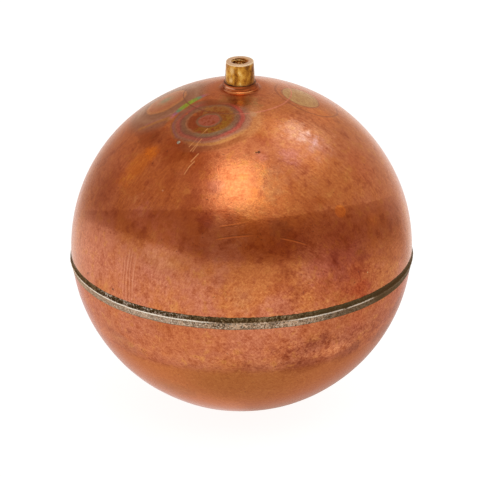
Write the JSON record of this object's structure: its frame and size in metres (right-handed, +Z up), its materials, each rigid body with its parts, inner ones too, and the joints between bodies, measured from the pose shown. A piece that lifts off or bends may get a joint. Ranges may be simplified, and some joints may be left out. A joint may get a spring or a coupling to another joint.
{
  "type": "float valve ball",
  "caption": "Hollow copper ball float made of soldered half shells, with a tapped brass spud at its top for the rod of a float valve.",
  "frame": {"origin": "centre of the spud's top face, at the mouth of the tapped hole that takes the float rod", "axes": "+Z up, along the ball's axis and out of the tapped hole; the seam lies in a plane across Z; +X and +Y are arbitrary round the ball"},
  "size_m": [0.1536, 0.1536, 0.1622],
  "materials": {
    "upper_copper": "satin",
    "lower_copper": "satin",
    "disc_copper": "satin",
    "brass": "satin",
    "seam_solder": "matte",
    "spud_solder": "satin"
  },
  "bodies": {
    "root": {"upper_shell": "upper_copper", "lower_shell": "lower_copper", "seam_solder": "seam_solder", "spud": "brass", "neck_solder": "spud_solder", "reinforcing_disc": "disc_copper", "flange_solder": "spud_solder", "vent_plug": "spud_solder"}
  },
  "joints": []
}
